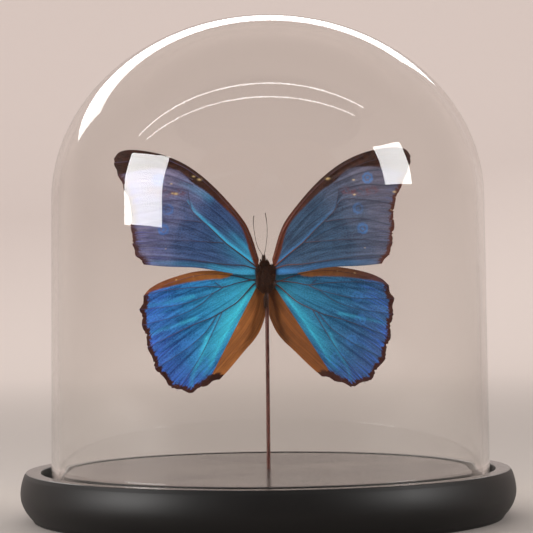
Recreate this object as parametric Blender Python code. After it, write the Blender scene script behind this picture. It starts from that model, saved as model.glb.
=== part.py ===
"""A blue morpho butterfly, wings spread, on a thin rod under a glass dome on a turned black base.

Metres, +Z up. The origin is the middle of the base's underside, and the butterfly's back faces -Y.
Each piece that would come apart on a bench is one object. Pieces that meet keep a gap of 0.3 mm.
"""

from math import cos, pi, radians, sin

import bpy
from mathutils import Matrix, Vector

GAP = 0.0003

# Turned base: a disc inside a groove that takes the dome's lip, and a rim with a bellied side.
BASE_HEIGHT = 0.0200
BASE_RADIUS = 0.1015
BASE_BELLY_HEIGHT = 0.0110
BASE_TOP_RADIUS = 0.0994
BASE_FOOT_RADIUS = 0.0966
BASE_FOOT_ROUND = 0.0010
DISC_RADIUS = 0.0835
GROOVE_RADIUS = 0.0930
GROOVE_FLOOR = 0.0130
EDGE_ROUND = 0.0005
BASE_SEGMENTS = 56

# Glass dome: near-straight wall, half-ellipse crown, one wall thickness, rounded lip.
DOME_OFFSET_X = 0.0010
DOME_LIP_RADIUS = 0.0899
DOME_SHOULDER_RADIUS = 0.0888
DOME_SHOULDER_HEIGHT = 0.1306
DOME_CROWN = 0.0757
DOME_WALL = 0.0030
DOME_BOTTOM = GROOVE_FLOOR + GAP
DOME_SEGMENTS = 48

# Rod: stands in a hole in the disc, its top end glued in a hole drilled up into the thorax.
ROD_X = 0.0002
ROD_RADIUS = 0.0008
ROD_BOTTOM = 0.0145
ROD_TOP = 0.0965
ROD_HOLE_RADIUS = ROD_RADIUS + GAP

# Butterfly's body, all on one upright line just in front of the rod.
BODY = Vector((-0.0002, -0.0012, 0.0984))
THORAX_HALF = Vector((0.0030, 0.0033, 0.0059))
HEAD = BODY + Vector((-0.00075, 0.0, 0.0075))
HEAD_HALF = Vector((0.0009, 0.0015, 0.00125))
EYE_RADIUS = 0.0007
EYE_SPREAD = 0.00095
EYE_DROP = 0.0003
PALP_LENGTH = 0.0005
PALP_RADIUS = 0.0002
PALP_SPREAD = 0.00036
ABDOMEN_TOP = 0.0920
ABDOMEN_LENGTH = 0.0070
ABDOMEN_HALF_WIDTH = 0.0014
ABDOMEN_HALF_DEPTH = 0.0008
ABDOMEN_Y = -0.0021

# Wings: outlines on the flat wing, outwards and upwards from its root.
# A margin runs from tip to inner corner over the ends of the veins, and dips between them.
WING_THICKNESS = 0.0003
WING_ALONG, WING_ACROSS = 8, 27
CURVE_STEPS = 8  # points drawn between each two of an outline's own
FOREWING_LEADING = ((0.0, 0.0036), (0.0033, 0.0140), (0.0073, 0.0212), (0.0175, 0.0330),
                    (0.0281, 0.0420), (0.0393, 0.0471), (0.0500, 0.0491), (0.0560, 0.0484),
                    (0.0586, 0.0457))
FOREWING_MARGIN = ((0.0586, 0.0457), (0.0588, 0.0432), (0.0572, 0.0384), (0.0549, 0.0330),
                   (0.0523, 0.0262), (0.0526, 0.0174), (0.0520, 0.0106), (0.0509, 0.0058),
                   (0.0473, 0.0022))
FOREWING_TRAILING = ((0.0006, -0.0030), (0.0056, -0.0029), (0.0136, -0.0017), (0.0249, 0.0004),
                     (0.0383, 0.0012), (0.0473, 0.0022))
FOREWING_DIP = 0.0007
HINDWING_LEADING = ((0.0002, 0.0020), (0.0060, 0.0034), (0.0128, 0.0041), (0.0245, 0.0042),
                    (0.0364, 0.0011), (0.0432, -0.0022), (0.0464, -0.0055))
HINDWING_MARGIN = ((0.0464, -0.0055), (0.0484, -0.0110), (0.0474, -0.0176), (0.0453, -0.0270),
                   (0.0424, -0.0356), (0.0358, -0.0438), (0.0274, -0.0462), (0.0205, -0.0427),
                   (0.0156, -0.0403))
HINDWING_INNER = ((-0.0008, -0.0030), (-0.0036, -0.0060), (-0.0038, -0.0090), (-0.0038, -0.0122),
                  (-0.0031, -0.0158), (-0.0013, -0.0205), (0.0014, -0.0246), (0.0049, -0.0284),
                  (0.0112, -0.0357), (0.0156, -0.0403))
HINDWING_DIP = 0.0010
# The hindwing's inner flap is folded back along this line, as the trough that holds the abdomen.
FOLD_START = Vector((0.0006, -0.0037))
FOLD_DIRECTION = Vector((0.4668, -0.8844))
FLAP_WIDTH, FLAP_DEPTH, FLAP_CURVE = 0.0085, 0.0055, 1.15

# Where each wing is rooted, how far it lifts towards the viewer, and its turn in its own plane.
FOREWING_LEFT_ROOT = Vector((-0.0029, -0.0026, 0.1025))
FOREWING_RIGHT_ROOT = Vector((0.0025, -0.0026, 0.1026))
HINDWING_LEFT_ROOT = Vector((-0.0041, -0.0006, 0.0971))
HINDWING_RIGHT_ROOT = Vector((0.0037, -0.0006, 0.0964))
FOREWING_LEFT_LIFT, FOREWING_LEFT_TURN = radians(7), radians(-0.5)
FOREWING_RIGHT_LIFT, FOREWING_RIGHT_TURN = radians(21), radians(-1.4)
HINDWING_LIFT = radians(6)
HINDWING_LEFT_TURN, HINDWING_RIGHT_TURN = 0.0, radians(4.9)

# Routes of the thin pieces.
ANTENNA_LEFT = ((-0.0015, -0.0012, 0.1076), (-0.0019, -0.0013, 0.1085), (-0.0028, -0.0016, 0.1100),
                (-0.0038, -0.0020, 0.1125), (-0.0045, -0.0026, 0.1160), (-0.0050, -0.0031, 0.1199),
                (-0.0050, -0.0034, 0.1217), (-0.0048, -0.0036, 0.1238))
ANTENNA_RIGHT = ((-0.0007, -0.0012, 0.1077), (-0.0005, -0.0013, 0.1087), (-0.0001, -0.0016, 0.1104),
                 (0.0003, -0.0021, 0.1133), (0.0006, -0.0026, 0.1168), (0.0005, -0.0031, 0.1206),
                 (0.0002, -0.0034, 0.1230), (-0.0001, -0.0036, 0.1250))
ANTENNA_RADIUS = 0.00015
ANTENNA_CLUB = 1.6
MIDDLE_LEG = ((0.0013, 0.0026, 0.1005), (0.0027, 0.0032, 0.0980), (0.0017, 0.0032, 0.0946))
HIND_LEG = ((0.0009, 0.0027, 0.0982), (0.0018, 0.0041, 0.0958), (0.0008, 0.0037, 0.0925))
LEG_RADIUS = 0.0002
PROBOSCIS_TURNS = 1.75
PROBOSCIS_OUTER, PROBOSCIS_INNER = 0.0008, 0.0003
PROBOSCIS_RADIUS = 0.0001
PROBOSCIS_POINTS = 26


def clear_scene():
    for obj in list(bpy.data.objects):
        bpy.data.objects.remove(obj)


def material(name, colour, roughness, metallic=0.0, transmission=0.0):
    made = bpy.data.materials.new(name)
    made.use_nodes = True
    shader = made.node_tree.nodes["Principled BSDF"]
    shader.inputs["Base Color"].default_value = (*colour, 1.0)
    shader.inputs["Roughness"].default_value = roughness
    shader.inputs["Metallic"].default_value = metallic
    shader.inputs["Transmission Weight"].default_value = transmission
    return made


def named(obj, name, finish):
    obj.name = name
    obj.data.name = name
    obj.data.materials.clear()
    obj.data.materials.append(finish)
    return obj


def mesh_object(name, points, faces, finish):
    mesh = bpy.data.meshes.new(name)
    mesh.from_pydata([tuple(p) for p in points], [], faces)
    mesh.update()
    if faces:
        mesh.shade_smooth()
    obj = bpy.data.objects.new(name, mesh)
    bpy.context.scene.collection.objects.link(obj)
    mesh.materials.append(finish)
    return obj


def turned(name, profile, segments, finish):
    """A solid turned from an (r, z) profile that starts and ends on the axis."""
    obj = mesh_object(name, [(r, 0, z) for r, z in profile], [], finish)
    obj.data.edges.add(len(profile) - 1)
    for i, edge in enumerate(obj.data.edges):
        edge.vertices = (i, i + 1)
    screw = obj.modifiers.new("turn", "SCREW")
    screw.steps = screw.render_steps = segments
    screw.use_merge_vertices = True
    screw.merge_threshold = 0.00001
    screw.use_smooth_shade = True
    return obj


def ellipsoid(name, centre, half, finish, segments, rings):
    bpy.ops.mesh.primitive_uv_sphere_add(segments=segments, ring_count=rings, radius=1, location=(0, 0, 0))
    obj = named(bpy.context.object, name, finish)
    obj.data.transform(Matrix.Diagonal((*half, 1.0)))
    obj.data.transform(Matrix.Translation(centre))
    obj.data.shade_smooth()
    return obj


def cutter(obj):
    obj.hide_render = True
    obj.display_type = "WIRE"
    return obj


def cut(obj, tool):
    boolean = obj.modifiers.new("cut " + tool.name, "BOOLEAN")
    boolean.operation = "DIFFERENCE"
    boolean.object = tool


def upright_drill(name, low, high, finish):
    """The cutter of a hole that the rod stands in."""
    middle = (ROD_X, 0, (low + high) / 2)
    bpy.ops.mesh.primitive_cylinder_add(
        vertices=20, radius=ROD_HOLE_RADIUS, depth=high - low, location=middle
    )
    return cutter(named(bpy.context.object, name, finish))


def arc(centre, radius, start, end, steps):
    """Points of an (r, z) arc between two angles in degrees."""
    angles = [radians(start + (end - start) * i / steps) for i in range(steps + 1)]
    return [(centre[0] + radius * cos(a), centre[1] + radius * sin(a)) for a in angles]


def base_profile():
    top_in, top_out = DISC_RADIUS - EDGE_ROUND, GROOVE_RADIUS + EDGE_ROUND
    shoulder = BASE_HEIGHT - EDGE_ROUND
    profile = [(0.0, BASE_HEIGHT)]
    profile += arc((top_in, shoulder), EDGE_ROUND, 90, 0, 2)
    profile += [(DISC_RADIUS, GROOVE_FLOOR), (GROOVE_RADIUS, GROOVE_FLOOR)]
    profile += arc((top_out, shoulder), EDGE_ROUND, 180, 90, 2)
    for i in range(5):
        up = 1 - i / 4
        height = BASE_BELLY_HEIGHT + (BASE_HEIGHT - BASE_BELLY_HEIGHT) * up
        profile.append((BASE_RADIUS - (BASE_RADIUS - BASE_TOP_RADIUS) * up**2, height))
    for i in range(1, 5):
        down = i / 4
        height = BASE_BELLY_HEIGHT - (BASE_BELLY_HEIGHT - BASE_FOOT_ROUND) * down
        profile.append((BASE_RADIUS - (BASE_RADIUS - BASE_FOOT_RADIUS) * down**2, height))
    profile += [(BASE_FOOT_RADIUS - BASE_FOOT_ROUND, 0.0), (0.0, 0.0)]
    return profile


def dome_profile():
    def crown(radius, height, steps):
        angles = [pi / 2 * (1 - i / steps) for i in range(steps + 1)]
        return [(radius * cos(a), DOME_SHOULDER_HEIGHT + height * sin(a)) for a in angles]

    lip = DOME_WALL / 2
    outside = crown(DOME_SHOULDER_RADIUS, DOME_CROWN, 9)
    inside = crown(DOME_SHOULDER_RADIUS - DOME_WALL, DOME_CROWN - DOME_WALL, 7)
    rounded = arc((DOME_LIP_RADIUS - lip, DOME_BOTTOM + lip), lip, 0, -180, 4)
    profile = outside + rounded + inside[::-1]
    return [(0.0, z) if r < 1e-6 else (r, z) for r, z in profile]


def base_and_dome():
    lacquer = material("black lacquer", (0.010, 0.009, 0.009), 0.35)
    base = turned("base", base_profile(), BASE_SEGMENTS, lacquer)
    cut(base, upright_drill("base hole", ROD_BOTTOM - GAP, BASE_HEIGHT + GAP, lacquer))
    glass = material("glass", (0.95, 0.95, 0.93), 0.02, transmission=1.0)
    dome = turned("glass_dome", dome_profile(), DOME_SEGMENTS, glass)
    dome.location.x = DOME_OFFSET_X


def tube(name, points, radius, finish, ends=(1.0, 1.0)):
    """A round strand along a smooth line; its radius runs evenly from one end's share to the other's."""
    curve = bpy.data.curves.new(name, "CURVE")
    curve.dimensions = "3D"
    curve.bevel_depth = radius
    curve.bevel_resolution = 1
    curve.use_fill_caps = True
    line = curve.splines.new("POLY")
    line.points.add(len(points) - 1)
    for i, (target, place) in enumerate(zip(line.points, points)):
        target.co = (*place, 1.0)
        target.radius = ends[0] + (ends[1] - ends[0]) * i / (len(points) - 1)
    curve.materials.append(finish)
    obj = bpy.data.objects.new(name, curve)
    bpy.context.scene.collection.objects.link(obj)
    return obj


def spline_through(points, count):
    """count + 1 evenly spaced points on the Catmull-Rom curve through the given ones."""
    points = [Vector(p) for p in points]
    ends = [2 * points[0] - points[1]] + points + [2 * points[-1] - points[-2]]
    fine = [points[0]]
    for a, b, c, d in zip(ends, ends[1:], ends[2:], ends[3:]):
        for i in range(1, CURVE_STEPS + 1):
            t = i / CURVE_STEPS
            bend = (2 * a - 5 * b + 4 * c - d) * t**2 + (3 * b - a - 3 * c + d) * t**3
            fine.append(0.5 * (2 * b + (c - a) * t + bend))
    return evenly(fine, count)


def evenly(fine, count):
    """count + 1 points at equal distances along a polyline."""
    reached = [0.0]
    for a, b in zip(fine, fine[1:]):
        reached.append(reached[-1] + (b - a).length)
    placed, i = [], 0
    for k in range(count + 1):
        want = reached[-1] * k / count
        while i < len(fine) - 2 and reached[i + 1] < want:
            i += 1
        share = (want - reached[i]) / (reached[i + 1] - reached[i])
        placed.append(fine[i].lerp(fine[i + 1], min(share, 1.0)))
    return placed


def scalloped(points, dip, count):
    """The margin over the vein ends, dipping inwards between each two of them."""
    points = [Vector(p) for p in points]
    fine = [points[0]]
    for a, b in zip(points, points[1:]):
        inward = Vector(((b - a).y, -(b - a).x)).normalized()
        depth = dip * min(1.0, (b - a).length / 0.006)
        for i in range(1, CURVE_STEPS + 1):
            t = i / CURVE_STEPS
            fine.append(a.lerp(b, t) + inward * depth * sin(pi * t) ** 2)
    return evenly(fine, count)


def wing_grid(leading, margin, inner, dip):
    """Rows of flat points from root to margin, filled in between the four sides of the outline."""
    front = spline_through(leading, WING_ALONG)
    back = spline_through(inner, WING_ALONG)
    tip = scalloped(margin, dip, WING_ACROSS)
    rows = []
    for i in range(WING_ALONG + 1):
        u = i / WING_ALONG
        row = []
        for j in range(WING_ACROSS + 1):
            v = j / WING_ACROSS
            root = front[0].lerp(back[0], v)
            corners = front[0].lerp(front[-1], u).lerp(back[0].lerp(back[-1], u), v)
            row.append(front[i].lerp(back[i], v) + root.lerp(tip[j], u) - corners)
        rows.append(row)
    return rows


def flap_depth(point):
    """How far the hindwing's inner flap stands back behind the fold."""
    away = point - FOLD_START
    beyond = away.x * FOLD_DIRECTION.y - away.y * FOLD_DIRECTION.x
    return FLAP_DEPTH * (max(0.0, beyond) / FLAP_WIDTH) ** FLAP_CURVE


def wing(name, rows, side, root, lift, turn, finish, folded=False):
    """A thin closed sheet: the flat rows turned in their plane, folded, lifted and set at the root."""
    points, faces = [], []
    for row in rows:
        for flat in row:
            back = flap_depth(flat) if folded else 0.0
            s = flat.x * cos(turn) - flat.y * sin(turn)
            t = flat.x * sin(turn) + flat.y * cos(turn)
            points.append(root + Vector((side * s * cos(lift), back - s * sin(lift), t)))
    width = WING_ACROSS + 1
    for i in range(WING_ALONG):
        for j in range(WING_ACROSS):
            a = i * width + j
            quad = (a, a + width, a + width + 1, a + 1)
            faces.append(quad if side > 0 else quad[::-1])
    obj = mesh_object(name, points, faces, finish)
    sheet = obj.modifiers.new("thickness", "SOLIDIFY")
    sheet.thickness = WING_THICKNESS
    sheet.offset = 0
    return obj


def wings():
    blue = material("blue wing scales", (0.03, 0.22, 0.60), 0.35, 0.6)
    fore = wing_grid(FOREWING_LEADING, FOREWING_MARGIN, FOREWING_TRAILING, FOREWING_DIP)
    hind = wing_grid(HINDWING_LEADING, HINDWING_MARGIN, HINDWING_INNER, HINDWING_DIP)
    wing("forewing_left", fore, -1, FOREWING_LEFT_ROOT, FOREWING_LEFT_LIFT, FOREWING_LEFT_TURN, blue)
    wing("forewing_right", fore, 1, FOREWING_RIGHT_ROOT, FOREWING_RIGHT_LIFT, FOREWING_RIGHT_TURN, blue)
    wing("hindwing_left", hind, -1, HINDWING_LEFT_ROOT, HINDWING_LIFT, HINDWING_LEFT_TURN, blue, True)
    wing("hindwing_right", hind, 1, HINDWING_RIGHT_ROOT, HINDWING_LIFT, HINDWING_RIGHT_TURN, blue, True)


def abdomen(finish):
    """The dried, tapering stub of the abdomen."""
    obj = ellipsoid("abdomen", (0, 0, 0), (1, 1, 1), finish, 12, 9)
    for vertex in obj.data.vertices:
        down = (1 - vertex.co.z) / 2
        taper = 1 - 0.55 * down
        vertex.co.x = BODY.x + vertex.co.x * ABDOMEN_HALF_WIDTH * taper
        vertex.co.y = ABDOMEN_Y + vertex.co.y * ABDOMEN_HALF_DEPTH * taper
        vertex.co.z = ABDOMEN_TOP - ABDOMEN_LENGTH * down
    return obj


def body():
    fur = material("dark fur", (0.035, 0.020, 0.014), 0.8)
    shell = material("dark shell", (0.030, 0.014, 0.010), 0.4)
    eye_shell = material("compound eye", (0.020, 0.010, 0.008), 0.2)
    rod_finish = material("brown rod", (0.060, 0.018, 0.012), 0.35)

    thorax = ellipsoid("thorax", BODY, THORAX_HALF, fur, 20, 14)
    cut(thorax, upright_drill("thorax hole", BODY.z - 1.5 * THORAX_HALF.z, ROD_TOP + GAP, fur))
    rod_length = ROD_TOP - ROD_BOTTOM
    bpy.ops.mesh.primitive_cylinder_add(
        vertices=16, radius=ROD_RADIUS, depth=rod_length, location=(ROD_X, 0, ROD_BOTTOM + rod_length / 2)
    )
    rod = named(bpy.context.object, "rod", rod_finish)
    rod.data.shade_smooth()
    rod.data.set_sharp_from_angle(angle=radians(40))

    ellipsoid("head", HEAD, HEAD_HALF, fur, 16, 10)
    seat_half = HEAD_HALF + Vector((GAP, GAP, GAP))
    seat = cutter(ellipsoid("eye seat", HEAD, seat_half, shell, 24, 16))
    for side, word in ((-1, "left"), (1, "right")):
        centre = HEAD + Vector((side * EYE_SPREAD, 0, -EYE_DROP))
        cut(ellipsoid("eye_" + word, centre, (EYE_RADIUS,) * 3, eye_shell, 14, 10), seat)
        foot = HEAD + Vector((side * PALP_SPREAD, 0.0008, HEAD_HALF.z + GAP))
        tube("palp_" + word, (foot, foot + Vector((0, 0, PALP_LENGTH))), PALP_RADIUS, fur, (1.0, 0.35))
        for leg, route in (("middle", MIDDLE_LEG), ("hind", HIND_LEG)):
            path = [Vector((BODY.x + side * x, y, z)) for x, y, z in route]
            tube(f"leg_{word}_{leg}", spline_through(path, 7), LEG_RADIUS, shell, (1.0, 0.6))
    abdomen(shell)

    tube("antenna_left", spline_through(ANTENNA_LEFT, 14), ANTENNA_RADIUS, shell, (1.0, ANTENNA_CLUB))
    tube("antenna_right", spline_through(ANTENNA_RIGHT, 14), ANTENNA_RADIUS, shell, (1.0, ANTENNA_CLUB))
    middle = HEAD + Vector((0, HEAD_HALF.y + GAP + PROBOSCIS_OUTER + PROBOSCIS_RADIUS, 0))
    coil = []
    for i in range(PROBOSCIS_POINTS):
        share = i / (PROBOSCIS_POINTS - 1)
        reach = PROBOSCIS_OUTER + (PROBOSCIS_INNER - PROBOSCIS_OUTER) * share
        angle = pi + 2 * pi * PROBOSCIS_TURNS * share
        coil.append(middle + Vector((0, reach * cos(angle), reach * sin(angle))))
    tube("proboscis", coil, PROBOSCIS_RADIUS, shell)


clear_scene()
base_and_dome()
body()
wings()
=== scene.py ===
"""A blue morpho butterfly on a thin rod, under a glass dome on a turned black base.

Metres, +Z up, the butterfly's back towards -Y. The file follows the piece as it is put together:
base, rod, body, head, antennae, legs, wings, dome, and last the room that it is seen in.
"""

from math import cos, pi, radians, sin
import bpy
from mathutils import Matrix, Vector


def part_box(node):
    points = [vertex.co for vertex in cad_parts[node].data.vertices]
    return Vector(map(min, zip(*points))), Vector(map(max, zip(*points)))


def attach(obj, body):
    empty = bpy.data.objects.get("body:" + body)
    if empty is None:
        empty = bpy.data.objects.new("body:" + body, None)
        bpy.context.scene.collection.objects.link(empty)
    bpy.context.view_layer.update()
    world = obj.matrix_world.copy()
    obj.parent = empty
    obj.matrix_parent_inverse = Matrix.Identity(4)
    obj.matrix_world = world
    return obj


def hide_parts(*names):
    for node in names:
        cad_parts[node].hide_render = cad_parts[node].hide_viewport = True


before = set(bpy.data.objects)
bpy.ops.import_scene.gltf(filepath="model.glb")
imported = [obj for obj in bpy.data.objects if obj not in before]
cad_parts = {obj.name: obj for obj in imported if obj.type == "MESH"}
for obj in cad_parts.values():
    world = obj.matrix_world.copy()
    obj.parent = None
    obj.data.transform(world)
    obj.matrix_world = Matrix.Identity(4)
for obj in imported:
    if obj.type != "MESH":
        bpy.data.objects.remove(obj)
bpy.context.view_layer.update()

from types import SimpleNamespace

import bpy
import numpy as np
from mathutils import Vector

# ---------------------------------------------------------------------------------------------
# Base. A round board turned from one piece of hardwood: a raised disc, a groove that takes the
# dome's lip, and a rim with a bellied side. It is sprayed black and rubbed down to satin, which
# leaves faint turning lines, a soft bloom on the worn edges, and dust on the flat top.

base_low, base_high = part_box("base")
BASE_RADIUS, BASE_HEIGHT = (base_high.x - base_low.x) / 2, base_high.z
BELLY_HEIGHT = 0.0110
RIM_OUTER, RIM_INNER = 0.0994, 0.0930
DISC_RADIUS = 0.0835
GROOVE_FLOOR = 0.0130
FOOT_RADIUS, FOOT_ROUND = 0.0966, 0.0010
EDGE_ROUND = 0.0006
FLOOR_FILLET = 0.0004
ROD_HOLE_RADIUS, ROD_HOLE_FLOOR, HOLE_CHAMFER = 0.0011, 0.0142, 0.0002


def shade(red, green, blue):
    """The linear colour of a swatch given in 0 to 255."""
    return tuple(((v / 255 + 0.055) / 1.055) ** 2.4 for v in (red, green, blue)) + (1.0,)


def alone(piece):
    bpy.ops.object.select_all(action="DESELECT")
    piece.select_set(True)
    bpy.context.view_layer.objects.active = piece


def fit(piece, name, slot, *stands_for, finish=None):
    """Names a finished piece, puts its place into its mesh and fixes it to the object."""
    alone(piece)
    if finish:
        piece.data.materials.clear()
        piece.data.materials.append(finish)
    bpy.ops.object.transform_apply(location=True, rotation=True, scale=True)
    piece.name = piece.data.name = name
    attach(piece, "root")
    if stands_for:
        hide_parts(*stands_for)


def rounded(middle, radius, start, end, steps):
    """(radius, height) points of an arc between two angles in degrees."""
    turns = [radians(start + (end - start) * i / steps) for i in range(steps + 1)]
    return [(middle[0] + radius * cos(a), middle[1] + radius * sin(a)) for a in turns]


def edit(select="SELECT"):
    bpy.ops.object.mode_set(mode="EDIT")
    bpy.ops.mesh.select_all(action=select)


def leave_edit():
    bpy.ops.object.mode_set(mode="OBJECT")


def turned(profile, segments, middle_x=0.0, inside=False):
    """A piece turned on an upright axis: a ring drawn out through (radius, height) points."""
    radius, height = profile[0]
    bpy.ops.object.select_all(action="DESELECT")
    bpy.ops.mesh.primitive_circle_add(
        vertices=segments, radius=radius, fill_type="TRIFAN", location=(middle_x, 0, height)
    )
    bpy.ops.object.mode_set(mode="EDIT")
    for wide, high in profile[1:]:
        bpy.ops.mesh.extrude_region_move(TRANSFORM_OT_translate={"value": (0, 0, high - height)})
        bpy.ops.transform.resize(
            value=(wide / radius, wide / radius, 1), center_override=(middle_x, 0, high)
        )
        radius, height = wide, high
    bpy.ops.mesh.select_all(action="SELECT")
    bpy.ops.mesh.normals_make_consistent(inside=inside)
    leave_edit()
    bpy.ops.object.shade_smooth_by_angle(angle=radians(40))
    return bpy.context.object


def material(name, **plain):
    """A material, with plain values on its shader's own sockets."""
    made = bpy.data.materials.new(name)
    made.use_nodes = True
    shader = made.node_tree.nodes["Principled BSDF"]
    for socket, value in plain.items():
        shader.inputs[socket.replace("_", " ")].default_value = value
    return made


def feed(made, **sockets):
    """Joins outputs to the material's own shader."""
    shader = made.node_tree.nodes["Principled BSDF"]
    for socket, output in sockets.items():
        made.node_tree.links.new(output, shader.inputs[socket.replace("_", " ")])
    return made


def node(tree, kind, inputs=(), **settings):
    """A shader node; each input takes a plain value or another node's output."""
    made = tree.nodes.new("ShaderNode" + kind)
    for setting, value in settings.items():
        setattr(made, setting, value)
    for socket, value in dict(inputs).items():
        if isinstance(value, bpy.types.NodeSocket):
            tree.links.new(value, made.inputs[socket])
        else:
            made.inputs[socket].default_value = value
    return made


def after(kind, inputs, **settings):
    """A node in the tree of the outputs that feed it."""
    tree = next(v.id_data for v in inputs.values() if isinstance(v, bpy.types.NodeSocket))
    return node(tree, kind, inputs, **settings)


def on_piece(tree):
    return node(tree, "TexCoord").outputs["Object"]


def graded(value, *stops):
    """A colour ramp through (place, colour) stops."""
    ramp = after("ValToRGB", {"Fac": value})
    elements = ramp.color_ramp.elements
    while len(elements) < len(stops):
        elements.new(0.5)
    for element, (place, colour) in zip(elements, stops):
        element.position, element.color = place, (*colour[:3], 1.0)
    return ramp.outputs["Color"]


def ranged(value, low, high, to_low=0.0, to_high=1.0):
    """The value's range between two limits, spread smoothly over another range."""
    ends = {"Value": value, 1: low, 2: high, 3: to_low, 4: to_high}
    return after("MapRange", ends, interpolation_type="SMOOTHSTEP").outputs["Result"]


def sums(operation, *values):
    return after("Math", dict(enumerate(values)), operation=operation).outputs["Value"]


def plus(first, *others):
    for other in others:
        first = sums("ADD", first, other)
    return first


def times(first, *others):
    for other in others:
        first = sums("MULTIPLY", first, other)
    return first


def swing(value, much):
    """How far a value lies from its middle of one half."""
    return times(sums("SUBTRACT", value, 0.5), much)


def blended(share, first, second):
    return after("Mix", {"Factor": share, 6: first, 7: second}, data_type="RGBA").outputs[2]


def bumped(height, distance, strength=1.0):
    bump = after("Bump", {"Height": height, "Distance": distance, "Strength": strength})
    return bump.outputs["Normal"]


def noise(where, scale, detail=4.0, roughness=0.55):
    grain = {"Vector": where, "Scale": scale, "Detail": detail, "Roughness": roughness}
    return after("TexNoise", grain).outputs["Fac"]


def split(vector):
    return after("SeparateXYZ", {"Vector": vector}).outputs


def shared_effect(name, inputs, outputs):
    """An empty node group with named number sockets: its tree, what it is given, its results."""
    tree = bpy.data.node_groups.new(name, "ShaderNodeTree")
    for way, sockets in (("INPUT", inputs), ("OUTPUT", dict.fromkeys(outputs, 0.0))):
        for socket, value in sockets.items():
            made = tree.interface.new_socket(socket, in_out=way, socket_type="NodeSocketFloat")
            made.default_value = value
    return tree, tree.nodes.new("NodeGroupInput").outputs, tree.nodes.new("NodeGroupOutput").inputs


def dust_group():
    """Specks of dust that settle on surfaces that face up: a mask."""
    tree, given, result = shared_effect("settled dust", {"Speck Scale": 2600.0, "Cover": 0.5}, ["Dust"])
    where = on_piece(tree)
    specks = after("TexVoronoi", {"Vector": where, "Scale": given["Speck Scale"], "Randomness": 1.0})
    chance = after("SeparateColor", {"Color": specks.outputs["Color"]}).outputs["Red"]
    kept = sums("LESS_THAN", chance, times(noise(where, 34.0), given["Cover"]))
    dot = ranged(specks.outputs["Distance"], 0.32, 0.12)
    up = ranged(split(node(tree, "NewGeometry").outputs["Normal"])["Z"], 0.3, 0.9)
    tree.links.new(times(kept, dot, up), result["Dust"])
    return tree


settled_dust = dust_group()


def dusted(tree, speck_scale, cover):
    specks = {"Speck Scale": speck_scale, "Cover": cover}
    return node(tree, "Group", specks, node_tree=settled_dust).outputs["Dust"]


def black_lacquer():
    made = material("satin black lacquer", IOR=1.5, Specular_IOR_Level=0.32)
    where = on_piece(made.node_tree)
    flat = after("VectorMath", {0: where, 1: (1, 1, 0)}, operation="MULTIPLY").outputs[0]
    radius = after("VectorMath", {0: flat}, operation="LENGTH").outputs["Value"]
    turning = {"W": radius, "Scale": 2600.0, "Detail": 3.0, "Roughness": 0.7}
    lines = after("TexNoise", turning, noise_dimensions="1D").outputs["Fac"]
    cloudy = noise(where, 22.0)
    dust = dusted(made.node_tree, 1900.0, 0.02)
    black = graded(cloudy, (0.3, (0.0040, 0.0034, 0.0032)), (0.7, (0.0065, 0.0055, 0.0052)))
    level = split(node(made.node_tree, "NewGeometry").outputs["Normal"])["Z"]
    side_bloom = ranged(level, 0.5, 0.95, 0.28, 0.0)
    return feed(
        made,
        Base_Color=blended(dust, black, (0.16, 0.15, 0.14, 1.0)),
        Roughness=plus(ranged(cloudy, 0.3, 0.7, 0.20, 0.24), side_bloom, times(dust, 0.4)),
        Normal=bumped(plus(times(lines, 0.7), times(noise(where, 900.0, 2.0), 0.3)), 0.0000008),
    )


rise, drop = BASE_HEIGHT - BELLY_HEIGHT, BELLY_HEIGHT - FOOT_ROUND
edge_height, fillet_height = BASE_HEIGHT - EDGE_ROUND, GROOVE_FLOOR + FLOOR_FILLET
base_profile = [(ROD_HOLE_RADIUS, ROD_HOLE_FLOOR), (ROD_HOLE_RADIUS, BASE_HEIGHT - HOLE_CHAMFER)]
base_profile += [(ROD_HOLE_RADIUS + HOLE_CHAMFER, BASE_HEIGHT)]
base_profile += [(DISC_RADIUS * share, BASE_HEIGHT) for share in (0.05, 0.15, 0.4, 0.7, 0.9)]
base_profile += rounded((DISC_RADIUS - EDGE_ROUND, edge_height), EDGE_ROUND, 90, 0, 6)
base_profile += rounded((DISC_RADIUS + FLOOR_FILLET, fillet_height), FLOOR_FILLET, 180, 270, 4)
base_profile += rounded((RIM_INNER - FLOOR_FILLET, fillet_height), FLOOR_FILLET, 270, 360, 4)
base_profile += rounded((RIM_INNER + EDGE_ROUND, edge_height), EDGE_ROUND, 180, 90, 6)
base_profile += rounded((RIM_OUTER - EDGE_ROUND, edge_height), EDGE_ROUND, 90, 8, 5)
for i in range(1, 14):
    up = (1 - i / 13) * (rise - EDGE_ROUND) / rise
    base_profile.append((BASE_RADIUS - (BASE_RADIUS - RIM_OUTER) * up**2, BELLY_HEIGHT + rise * up))
for i in range(1, 13):
    down = i / 12
    wide = BASE_RADIUS - (BASE_RADIUS - FOOT_RADIUS) * down**2
    base_profile.append((wide, BELLY_HEIGHT - drop * down))
base_profile += rounded((FOOT_RADIUS - FOOT_ROUND, FOOT_ROUND), FOOT_ROUND, -18, -90, 4)
base_profile += [(FOOT_RADIUS * share, 0.0) for share in (0.95, 0.6, 0.25, 0.02)]
turned_base = turned(base_profile, 192)
fit(turned_base, "turned_base", "lacquered_wood", "base", finish=black_lacquer())

# ---------------------------------------------------------------------------------------------
# Rod. A straight drawn rod, chamfered at both ends and dipped in dark red-brown lacquer. It
# stands in the hole in the disc, and its top end is glued into the underside of the thorax.

rod_low, rod_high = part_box("rod")
ROD_RADIUS = (rod_high.x - rod_low.x) / 2
ROD_X = (rod_high.x + rod_low.x) / 2
ROD_CHAMFER = 0.00022

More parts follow.
